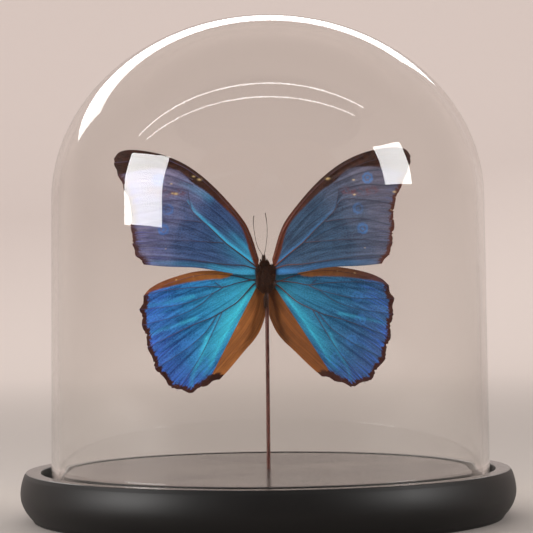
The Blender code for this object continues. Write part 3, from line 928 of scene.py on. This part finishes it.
class Wing:
    """The flat shape of one kind of wing, and the way from a flat point to its place in the air."""

    def __init__(self, side, stance, leading, margin, inner, dip, veins, folded):
        self.side, (root, self.lift, self.turn) = side, stance
        self.root = np.array(root)
        self.leading, self.margin, self.inner, self.dip = leading, margin, inner, dip
        self.veins = [
            (thick, thin, smooth_line(route, np.linspace(0, 1, 40))) for thick, thin, route in veins
        ]
        self.folded = folded

    def flat_grid(self, u, v):
        """Flat points between the four sides: u from root to margin, v from front to back."""
        ends = np.array((0.0, 1.0))
        front, back = smooth_line(self.leading, u), smooth_line(self.inner, u)
        front_ends, back_ends = smooth_line(self.leading, ends), smooth_line(self.inner, ends)
        tip = scalloped(self.margin, self.dip, v)
        nicks = self.ragged(v)[:, None]
        u, v = u[:, None], v[:, None]
        root = front_ends[0] * (1 - v) + back_ends[0] * v
        corners = (1 - u) * root + u * (front_ends[1] * (1 - v) + back_ends[1] * v)
        whole = front * (1 - v) + back * v + root * (1 - u) + tip * u - corners
        reach = np.maximum(np.linalg.norm(whole, axis=1, keepdims=True), 0.01)
        return whole * (1 - nicks * u**14 / reach)

    def ragged(self, v):
        """How deep the small nicks along the margin are drawn in towards the root."""
        waves = np.sin(v * 163 + 2) + np.sin(v * 101 + self.side) + np.sin(v * 67 + self.dip * 9000)
        return NICK_DEPTH * (waves / 3) ** 2 * np.sin(np.clip(v, 0, 1) * pi) ** 0.5

    def relief(self, flat):
        """Height over the flat: ridges along the veins, furrows between them, a slow camber."""
        distances = np.sort([off_line(line, flat)[0] for _, _, line in self.veins], axis=0)
        ridge = VEIN_RIDGE * np.exp(-((distances[0] / 0.0007) ** 2))
        furrow = FURROW_DEPTH * np.exp(-(((distances[1] - distances[0]) / 0.0016) ** 2))
        reach = np.linalg.norm(flat, axis=1)
        fade = soft_steps(reach, 0.004, 0.016)
        camber = CAMBER * np.sin(np.clip(reach / 0.062, 0, 1) * pi)
        wave = WAVE * np.sin(flat[:, 0] * 260 + flat[:, 1] * 90) * soft_steps(reach, 0.02, 0.05)
        return ridge + camber * fade + (wave - furrow) * fade

    def place(self, flat, lifted=0.0):
        """Flat points set in the air: folded, raised by the relief, turned, lifted and rooted."""
        flat = np.asarray(flat, float)
        back = np.zeros(len(flat))
        if self.folded:
            past = np.maximum(0, beyond_fold(flat))
            back = FLAP_DEPTH * (past / FLAP_WIDTH) ** FLAP_CURVE
        s = flat[:, 0] * cos(self.turn) - flat[:, 1] * sin(self.turn)
        t = flat[:, 0] * sin(self.turn) + flat[:, 1] * cos(self.turn)
        raised = self.relief(flat) + lifted
        x = self.side * (s * cos(self.lift) - raised * sin(self.lift))
        y = back - s * sin(self.lift) - raised * cos(self.lift)
        return self.root + np.stack([x, y, t], axis=1)


def wing_sheet(wing, marks):
    """A grid drawn into the wing's shape, with its marks as attributes and two maps of its surface."""
    bpy.ops.object.select_all(action="DESELECT")
    bpy.ops.mesh.primitive_grid_add(x_subdivisions=WING_ALONG, y_subdivisions=WING_ACROSS, size=1)
    sheet = bpy.context.object
    mesh = sheet.data
    count = len(mesh.vertices)
    drawn = np.empty(count * 3)
    mesh.vertices.foreach_get("co", drawn)
    u, v = drawn.reshape(-1, 3)[:, 0] + 0.5, drawn.reshape(-1, 3)[:, 1] + 0.5
    flat = wing.flat_grid(u, v)
    mesh.vertices.foreach_set("co", wing.place(flat).ravel())
    for name, values in marks(flat).items():
        layer = mesh.attributes.new(name, "FLOAT", "POINT")
        layer.data.foreach_set("value", values.astype(np.float32))
    corners = np.empty(len(mesh.loops), int)
    mesh.loops.foreach_get("vertex_index", corners)
    for name, pair in (("flat", flat * 100), ("fan", np.stack([v, u], axis=1))):
        layer = mesh.uv_layers.new(name=name)
        layer.data.foreach_set("uv", pair[corners].ravel())
    mesh.update()
    if wing.side > 0:
        edit()
        bpy.ops.mesh.flip_normals()
        leave_edit()
    return sheet


def wing_marks(wing, flat, kind, light, flecks):
    """What each flat point's scales depend on: distances in millimetres, and shares from 0 to 1."""
    spots, band = kind["spots"], smooth_line(kind["band"], np.linspace(0, 1, 60))
    rim = scalloped(wing.margin, wing.dip, np.linspace(0, 1, 160))
    distance, side, _ = off_line(band, flat)
    past = beyond_fold(flat) if wing.folded else np.full(len(flat), -1.0)
    to_margin = off_line(rim, flat)[0]
    if wing.folded:
        # The brown rim broadens along the inner corner, below the end of the blue.
        corner = soft_steps(flat[:, 1], -0.0360, -0.0400) * soft_steps(flat[:, 0], 0.0250, 0.0190)
        to_margin = to_margin * (1 - 0.55 * corner)
    # Painted highlights: how much each point's blue is painted brighter, as if it turned to the lamps,
    # summed from the listed patches.
    bright = np.zeros(len(flat))
    for spread, strength, route in light:
        away, _, share = off_line(smooth_line(route, np.linspace(0, 1, 50)), flat)
        patch = strength * np.exp(-((away / spread) ** 2)) * (1 - 0.7 * share**1.5)
        bright = 1 - (1 - bright) * (1 - patch)
    fleck = np.zeros(len(flat))
    for across, up, size in flecks:
        long = (flat - (across, up)) * (1.0, 1.8)
        fleck = np.maximum(fleck, np.exp(-((np.linalg.norm(long, axis=1) / size) ** 2)))
    rust = np.exp(-((off_line(FORE_RUST, flat)[0] / 0.0014) ** 2)) * (not wing.folded)
    from_vein = np.min([off_line(line, flat)[0] for _, _, line in wing.veins], axis=0)
    from_spot = np.min([np.linalg.norm(flat - place, axis=1) for place in spots], axis=0)
    return {
        "reach": np.linalg.norm(flat, axis=1) / 0.075,
        "to_margin": to_margin * 1000,
        "into_band": distance * side * 1000,
        "spot": from_spot * 1000,
        "bright": bright,
        "past_fold": past * 1000,
        "off_vein": from_vein * 1000,
        "fleck": fleck,
        "rust": rust,
    }


def wing_veins(wing, finish):
    tubes, shares = [], np.linspace(0, 1, 90)
    for thick, thin, line in wing.veins:
        centre = wing.place(evenly(line, shares), WING_THICKNESS * -0.4)
        thick *= VEIN_SWELL
        tubes.append(strand(centre, thick + (thin - thick) * shares**0.5, 8))
    veins = joined(*tubes)
    veins.data.materials.append(finish)
    return veins


def wing_map(tree, name):
    return node(tree, "UVMap", uv_map=name).outputs["UV"]


def scale_rows_group():
    """Rows of overlapping scales: each one's tone and free edge, and streaks from root to margin."""
    results = ("Tone", "Height", "Streak", "Ray")
    tree, given, result = shared_effect("scale rows", {"Scales per mm": 8.0}, results)
    flat, fan = wing_map(tree, "flat"), wing_map(tree, "fan")
    # The flat map counts hundredths of a metre, so a tenth of it is a millimetre.
    fine = times(given["Scales per mm"], 10.0)
    cells = after("TexVoronoi", {"Vector": flat, "Scale": fine, "Randomness": 0.55})
    tone = after("SeparateColor", {"Color": cells.outputs["Color"]}).outputs["Red"]
    streaks = after("Mapping", {"Vector": fan, "Scale": (46.0, 1.6, 1.0)}).outputs[0]
    rays = after("Mapping", {"Vector": fan, "Location": (3, 5, 0), "Scale": (88.0, 3.4, 1.0)}).outputs[0]
    found = tone, cells.outputs["Distance"], noise(streaks, 1.0, 6.0, 0.62), noise(rays, 1.0, 3.0, 0.5)
    for name, output in zip(results, found):
        tree.links.new(output, result[name])
    return tree


scale_rows = scale_rows_group()


def wing_scales(tree):
    """The wing's flat map, and the outputs of the rows of scales."""
    rows = node(tree, "Group", {"Scales per mm": 8.0}, node_tree=scale_rows).outputs
    return wing_map(tree, "flat"), rows


def upper_scales(name, rim_width, rim_blur, **swatches):
    """The upper side: blue scales shading outwards, under brown bands and a brown rim."""
    made = material(name, IOR=1.45, Specular_IOR_Level=0.22, Sheen_Weight=0.02, Sheen_Roughness=0.4)
    tree = made.node_tree
    paint = SimpleNamespace(**{part: shade(*swatch) for part, swatch in swatches.items()})
    flat, rows = wing_scales(tree)
    streak, ray = rows["Streak"], rows["Ray"]
    patchy, fine = noise(flat, 1.4, 5.0, 0.6), noise(flat, 16.0, 3.0, 0.6)
    reach, to_rim = measure_of(tree, "reach"), measure_of(tree, "to_margin")

    # The blue: streaked from root to margin, greyer outwards with a painted reflection there, and
    # painted highlights and painted shade in rays near the rim.
    tone = plus(times(streak, 0.95), times(patchy, 0.35), swing(fine, 0.5))
    blue = blended(ranged(tone, 0.46, 0.84), paint.deep, paint.middle)
    # Greyer and paler outwards: partly the wing's own colour, partly a painted reflection of the glass
    # over the outer forewings.
    greyer_with_painted_reflection = blended(streak, blue, paint.far)
    blue = blended(ranged(plus(reach, swing(patchy, 0.4)), 0.35, 0.85), blue, greyer_with_painted_reflection)
    near_rim = ranged(to_rim, 15.0, 3.0)
    # Painted highlight: vivid rays near the rim, where the pleats would catch the light.
    painted_ray_highlight = times(ranged(ray, 0.50, 0.64, 0.0, 0.75), near_rim)
    blue = blended(painted_ray_highlight, blue, paint.ray)
    # Painted shade: dark rays between them, where the pleats would fall into shade.
    dark = times(ranged(ray, 0.47, 0.32, 0.0, 0.75), near_rim)
    blue = blended(dark, blue, paint.deep)
    # Painted highlight: the blue is painted towards its highlight swatch over those patches, broken up
    # by the streaks.
    glow = times(measure_of(tree, "bright"), ranged(streak, 0.3, 0.55, 0.65, 1.0))
    blue = blended(glow, blue, paint.bright)
    groove = ranged(measure_of(tree, "off_vein"), 0.55, 0.1, 0.0, 0.4)
    blue = blended(groove, blue, paint.deep)
    speckle = plus(times(rows["Tone"], 0.35), times(fine, 0.45))
    blue = blended(ranged(speckle, 0.12, 0.6, 0.45, 0.0), blue, (0.01, 0.012, 0.03, 1.0))
    worn = times(measure_of(tree, "rust"), ranged(noise(flat, 5.0), 0.42, 0.62), 0.6)
    blue = blended(worn, blue, shade(112, 54, 52))

    # Eye-spots show through from below as a faint ring round a dot.
    spot = plus(measure_of(tree, "spot"), swing(noise(flat, 9.0), 1.8))
    ring = times(ranged(spot, 2.7, 1.9), ranged(spot, 1.0, 1.6))
    shown = sums("MAXIMUM", ring, ranged(spot, 1.0, 0.4))
    blue = blended(times(shown, ranged(patchy, 0.35, 0.6, 0.15, 0.5)), blue, paint.ghost)

    # Brown: the band along the leading edge, the rim, and the flap past the fold.
    ragged = swing(fine, 1.3)
    band = ranged(plus(measure_of(tree, "into_band"), ragged), -0.4, 0.4)
    into_rim = plus(to_rim, swing(noise(flat, 7.0), 3.6), swing(ray, 2.4), ragged)
    edge = ranged(into_rim, rim_width + rim_blur, rim_width - rim_blur)
    flap = ranged(plus(measure_of(tree, "past_fold"), times(ragged, 0.3)), -0.12, 0.12)
    mottle = ranged(noise(flat, 5.0), 0.35, 0.7)
    band_tone = blended(ranged(reach, 0.08, 0.6), paint.band_near, paint.band_far)
    band_tone = blended(times(mottle, 0.3), band_tone, shade(96, 50, 30))
    streaked = plus(times(streak, 0.8), times(patchy, 0.3))
    places, strengths = (0.3, 0.55, 0.8), (0.45, 1.0, 1.6)
    flap_tones = [(at, [much * c for c in paint.flap]) for at, much in zip(places, strengths)]
    colour = blended(flap, blue, graded(streaked, *flap_tones))
    colour = blended(edge, colour, paint.rim)
    colour = blended(band, colour, band_tone)
    colour = blended(measure_of(tree, "fleck"), colour, shade(214, 186, 128))
    dull = sums("MAXIMUM", sums("MAXIMUM", band, edge), flap)
    return feed(
        made,
        Base_Color=colour,
        Metallic=ranged(dull, 0.0, 1.0, 0.3, 0.0),
        Roughness=ranged(plus(dull, patchy), 0.3, 1.4, 0.38, 0.6),
        Normal=bumped(plus(times(streak, 6.0), rows["Height"]), 0.00006, 0.9),
    )


def under_scales():
    """The underside: dull brown, with pale lines along the margin and ringed eye-spots."""
    made = material("underside scales", IOR=1.4, Sheen_Weight=0.2, Sheen_Roughness=0.5)
    tree = made.node_tree
    flat, rows = wing_scales(tree)
    patchy = noise(flat, 1.8, 5.0, 0.6)
    tone = plus(times(rows["Streak"], 0.5), times(patchy, 0.5))
    browns = (0.3, shade(84, 56, 36)), (0.52, shade(118, 84, 56)), (0.72, shade(150, 116, 84))
    brown = graded(tone, *browns)
    to_margin = plus(measure_of(tree, "to_margin"), swing(noise(flat, 3.0), 1.6))
    for far, wide in ((1.1, 0.3), (2.9, 0.35), (9.5, 0.8)):
        away = sums("ABSOLUTE", sums("SUBTRACT", to_margin, far))
        brown = blended(ranged(away, wide, wide * 0.3, 0.0, 0.7), brown, shade(196, 172, 132))
    spot = times(measure_of(tree, "spot"), 1.0 / 6.0)
    rings = (
        (0.0, (232, 226, 210)), (0.07, (226, 218, 200)), (0.09, (120, 44, 30)),
        (0.16, (40, 20, 16)), (0.34, (20, 14, 12)), (0.37, (206, 160, 70)),
        (0.46, (198, 150, 66)), (0.50, (58, 36, 24)), (0.58, (70, 46, 30)),
    )
    eye_spot = graded(spot, *((far, shade(*swatch)) for far, swatch in rings))
    colour = blended(ranged(spot, 0.62, 0.54), brown, eye_spot)
    return feed(
        made,
        Base_Color=blended(times(rows["Tone"], 0.25), colour, shade(40, 26, 18)),
        Roughness=ranged(patchy, 0.3, 0.7, 0.6, 0.75),
        Normal=bumped(plus(times(rows["Streak"], 4.0), rows["Height"]), 0.00005),
    )


def vein_finish(name, *swatches):
    made = material(name, IOR=1.5, Specular_IOR_Level=0.25)
    where = on_piece(made.node_tree)
    grain = noise(where, 2600.0)
    reach = plus(times(sums("ABSOLUTE", split(where)["X"]), 18.0), times(grain, 0.1))
    stops = [(far, shade(*swatch)) for far, swatch in zip((0.1, 0.45, 0.85), swatches)]
    return feed(
        made,
        Base_Color=graded(reach, *stops),
        Roughness=ranged(grain, 0.3, 0.7, 0.42, 0.6),
        Normal=bumped(grain, 0.00002),
    )


EDGE_BROWNS = {"band_near": (88, 34, 12), "band_far": (34, 11, 5), "flap": (88, 34, 12)}
# The left wings are painted lighter and more vivid, as lit, and the right wings darker and duller, as in
# shade: painted light and shade on copies of one blue, down to the hindwing flaps. Each wing's lightest
# swatch is the colour of its painted highlights.
fore_left_blue_painted_lit = upper_scales(
    "left forewing blue painted lit", 2.0, 1.4, deep=(40, 58, 96), middle=(68, 100, 150),
    bright=(70, 205, 255), far=(184, 162, 184), ray=(104, 108, 180), rim=(66, 32, 26),
    ghost=(40, 120, 205), **EDGE_BROWNS,
)
fore_right_blue_painted_shaded = upper_scales(
    "right forewing blue painted shaded", 1.6, 0.7, deep=(38, 54, 76), middle=(60, 92, 124),
    bright=(62, 150, 225), far=(134, 116, 126), ray=(84, 92, 126), rim=(72, 30, 16),
    ghost=(50, 120, 190), **EDGE_BROWNS,
)
hind_left_blue_painted_lit = upper_scales(
    "left hindwing blue painted lit", 2.1, 0.5, deep=(14, 68, 124), middle=(48, 144, 216),
    bright=(76, 228, 255), far=(86, 88, 200), ray=(62, 116, 236), rim=(54, 18, 8),
    ghost=(60, 130, 210), band_near=(176, 112, 48), band_far=(116, 62, 34), flap=(158, 96, 46),
)
hind_right_blue_painted_shaded = upper_scales(
    "right hindwing blue painted shaded", 2.0, 0.5, deep=(24, 66, 104), middle=(50, 118, 166),
    bright=(66, 210, 245), far=(92, 94, 156), ray=(62, 116, 225), rim=(54, 18, 8),
    ghost=(60, 120, 190), band_near=(186, 122, 64), band_far=(78, 46, 50), flap=(116, 66, 26),
)
brown_underside = under_scales()
# The two vein skins differ by painted light and shade: the left one's tips are painted lighter and
# bluer, as lit, the right one's darker, as in shade.
left_veins_tips_painted_lit = vein_finish("left vein skin tips painted lit", (66, 30, 20), (64, 44, 52), (88, 82, 124))
right_veins_tips_painted_shaded = vein_finish("right vein skin tips painted shaded", (108, 56, 36), (74, 52, 60), (50, 46, 62))

FOREWING = {
    "outline": (FOREWING_LEADING, FOREWING_MARGIN, FOREWING_TRAILING, FOREWING_DIP),
    "veins": FOREWING_VEINS, "spots": FOREWING_SPOTS, "band": FOREWING_BAND, "folded": False,
}
HINDWING = {
    "outline": (HINDWING_LEADING, HINDWING_MARGIN, HINDWING_INNER, HINDWING_DIP),
    "veins": HINDWING_VEINS, "spots": HINDWING_SPOTS, "band": HINDWING_BAND, "folded": True,
}
WINGS = (
    ("forewing_left", FOREWING, FOREWING_LEFT, fore_left_blue_painted_lit, FORE_LEFT_PAINTED_HIGHLIGHTS, FORE_LEFT_FLECKS),
    ("forewing_right", FOREWING, FOREWING_RIGHT, fore_right_blue_painted_shaded, FORE_RIGHT_PAINTED_HIGHLIGHTS, FORE_RIGHT_FLECKS),
    ("hindwing_left", HINDWING, HINDWING_LEFT, hind_left_blue_painted_lit, HIND_LEFT_PAINTED_HIGHLIGHTS, HIND_FLECKS),
    ("hindwing_right", HINDWING, HINDWING_RIGHT, hind_right_blue_painted_shaded, HIND_RIGHT_PAINTED_HIGHLIGHTS, HIND_FLECKS),
)
for name, kind, stance, blue, light, flecks in WINGS:
    side, vein_skin = (1, right_veins_tips_painted_shaded) if name.endswith("right") else (-1, left_veins_tips_painted_lit)
    wing = Wing(side, stance, *kind["outline"], kind["veins"], kind["folded"])
    sheet = wing_sheet(wing, lambda flat: wing_marks(wing, flat, kind, light, flecks))
    sheet.data.materials.append(blue)
    sheet.data.materials.append(brown_underside)
    membrane = sheet.modifiers.new("membrane", "SOLIDIFY")
    membrane.thickness, membrane.offset, membrane.material_offset = WING_THICKNESS, -1, 1
    bpy.ops.object.modifier_apply(modifier=membrane.name)
    bpy.ops.object.shade_smooth_by_angle(angle=radians(60))
    whole = joined(sheet, wing_veins(wing, vein_skin))
    fit(whole, name + "_membrane", "wing_scales", name)

# ---------------------------------------------------------------------------------------------
# Dome. Clear glass blown to one wall thickness, with a near-straight side, a high round crown
# and a fire-rounded lip that stands in the groove. It lifts straight off.

dome_low, dome_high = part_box("glass_dome")
DOME_X = (dome_low.x + dome_high.x) / 2
LIP_RADIUS = (dome_high.x - dome_low.x) / 2
SHOULDER_RADIUS, SHOULDER_HEIGHT = 0.0888, 0.1306
WALL = 0.0030
CROWN = dome_high.z - SHOULDER_HEIGHT


def crown(radius, height, steps):
    turns = [pi / 2 * (1 - i / steps) for i in range(steps + 1)]
    return [(max(radius * cos(a), 0.0001), SHOULDER_HEIGHT + height * sin(a)) for a in turns]


def dome_wall(top, bottom, steps):
    fall = dome_low.z + WALL / 2 - SHOULDER_HEIGHT
    shares = [i / steps for i in range(1, steps)]
    return [(top + (bottom - top) * share, SHOULDER_HEIGHT + fall * share) for share in shares]


dome_profile = crown(SHOULDER_RADIUS, CROWN, 48)
dome_profile += dome_wall(SHOULDER_RADIUS, LIP_RADIUS, 12)
dome_profile += rounded((LIP_RADIUS - WALL / 2, dome_low.z + WALL / 2), WALL / 2, 0, -180, 10)
dome_profile += dome_wall(SHOULDER_RADIUS - WALL, LIP_RADIUS - WALL, 12)[::-1]
dome_profile += crown(SHOULDER_RADIUS - WALL, CROWN - WALL, 44)[::-1]


def clear_glass():
    """Clear glass: plain values, a faint warm tint in its depth, and it lets the lamps through."""
    made = material(
        "clear blown glass", IOR=1.47, Roughness=0.0, Transmission_Weight=1.0,
        Base_Color=(0.95, 0.943, 0.935, 1),
    )
    tree = made.node_tree
    shader, output = tree.nodes["Principled BSDF"], tree.nodes["Material Output"].inputs
    shadow = node(tree, "LightPath").outputs["Is Shadow Ray"]
    through = node(tree, "BsdfTransparent", {"Color": (0.93, 0.925, 0.91, 1)}).outputs["BSDF"]
    mix = node(tree, "MixShader", {"Fac": shadow, 1: shader.outputs["BSDF"], 2: through})
    depth = node(tree, "VolumeAbsorption", {"Color": (0.80, 0.74, 0.66, 1), "Density": 20.0})
    tree.links.new(mix.outputs["Shader"], output["Surface"])
    tree.links.new(depth.outputs["Volume"], output["Volume"])
    return made


blown_dome = turned(dome_profile, 192, DOME_X)
bpy.ops.object.shade_smooth()
fit(blown_dome, "blown_dome", "clear_glass", "glass_dome", finish=clear_glass())

# ---------------------------------------------------------------------------------------------
# Room. A pale floor that sweeps up into a warm pale wall all round, a soft box on each side, a
# long light behind and above, two thin tubes overhead, and a soft fill beside the viewer.

ROOM_FLOOR, ROOM_SWEEP, ROOM_WALL = 1.3, 1.3, 2.8
FLOOR_LEVEL = -0.0002
room_profile = [(wide, FLOOR_LEVEL) for wide in (0.02, 0.6, ROOM_FLOOR)]
room_profile += rounded((ROOM_FLOOR, ROOM_SWEEP), ROOM_SWEEP, -85, 0, 24)
room_profile += [(ROOM_FLOOR + ROOM_SWEEP, ROOM_WALL)]
room = turned(room_profile, 96, inside=True)


def room_paint():
    """Matt paint, pale round the dome and deeper towards the viewer, with a glow on the wall behind."""
    made = material("warm pale wall", Roughness=0.85, Specular_IOR_Level=0.1, Emission_Strength=0.48)
    where = on_piece(made.node_tree)
    place = split(where)
    behind = plus(ranged(place["Y"], -0.7, 0.15), swing(noise(where, 1.2), 0.06))
    height = ranged(place["Z"], 0.0, 0.8, 0.95, 1.0)
    glow = {0: (0.924, 0.773, 0.718), "Scale": times(ranged(place["Y"], 0.4, 2.2, 0.04, 1.0), height)}
    return feed(
        made,
        Base_Color=graded(behind, (0.0, shade(88, 81, 77)), (1.0, shade(176, 169, 164))),
        Emission_Color=after("VectorMath", glow, operation="SCALE").outputs[0],
        Normal=bumped(noise(where, 160.0), 0.0002),
    )


room.data.materials.append(room_paint())
room.name = "room"

world = bpy.data.worlds.new("soft daylight")
bpy.context.scene.world = world
world.use_nodes = True
daylight = world.node_tree.nodes["Background"].inputs
daylight["Color"].default_value, daylight["Strength"].default_value = (1.0, 0.98, 0.97, 1), 0.26


def lamp(name, place, aim, wide, high, power, mirrored=True):
    """A flat soft light; it is never seen itself, but its reflection is if it is mirrored."""
    bpy.ops.object.light_add(type="AREA", location=place)
    made = bpy.context.object
    made.name = name
    made.data.shape, made.data.size, made.data.size_y = "RECTANGLE", wide, high
    made.data.energy = power
    made.data.color = (1.0, 0.99, 0.98)
    made.rotation_euler = (Vector(aim) - Vector(place)).to_track_quat("-Z", "Y").to_euler()
    made.visible_camera = made.visible_transmission = False
    made.visible_glossy = mirrored


DOME_HEART = (0, 0, 0.12)
lamp("left soft box", (-1.215, -0.541, 0.4375), DOME_HEART, 0.565, 0.565, 18.0)
lamp("right soft box", (1.25, -0.46, 0.55), DOME_HEART, 0.42, 0.55, 12.5)
lamp("back light", (-0.35, 1.5, 0.95), (0, 0, 0.2), 2.2, 0.42, 13.0)
for name, away in (("front tube", -0.43), ("back tube", -0.23)):
    lamp(name, (-0.36, away, 1.15), (-0.36, away + 0.03, 0.1), 2.37, 0.02, 1.8)
lamp("fill", (-0.3, -1.5, 0.9), (0, 0, 0.1), 1.2, 1.2, 7.5, mirrored=False)

# The viewer stands a metre off at the height of the wings, with the head a touch to one side.
bpy.ops.object.camera_add(location=(0, -1.0, 0.103), rotation=(radians(90), radians(0.6), 0))
camera = bpy.context.object
camera.data.lens, camera.data.sensor_width = 164.2, 36
camera.data.shift_x = 0.0008
bpy.context.scene.camera = camera
bpy.context.scene.view_settings.view_transform = "Standard"
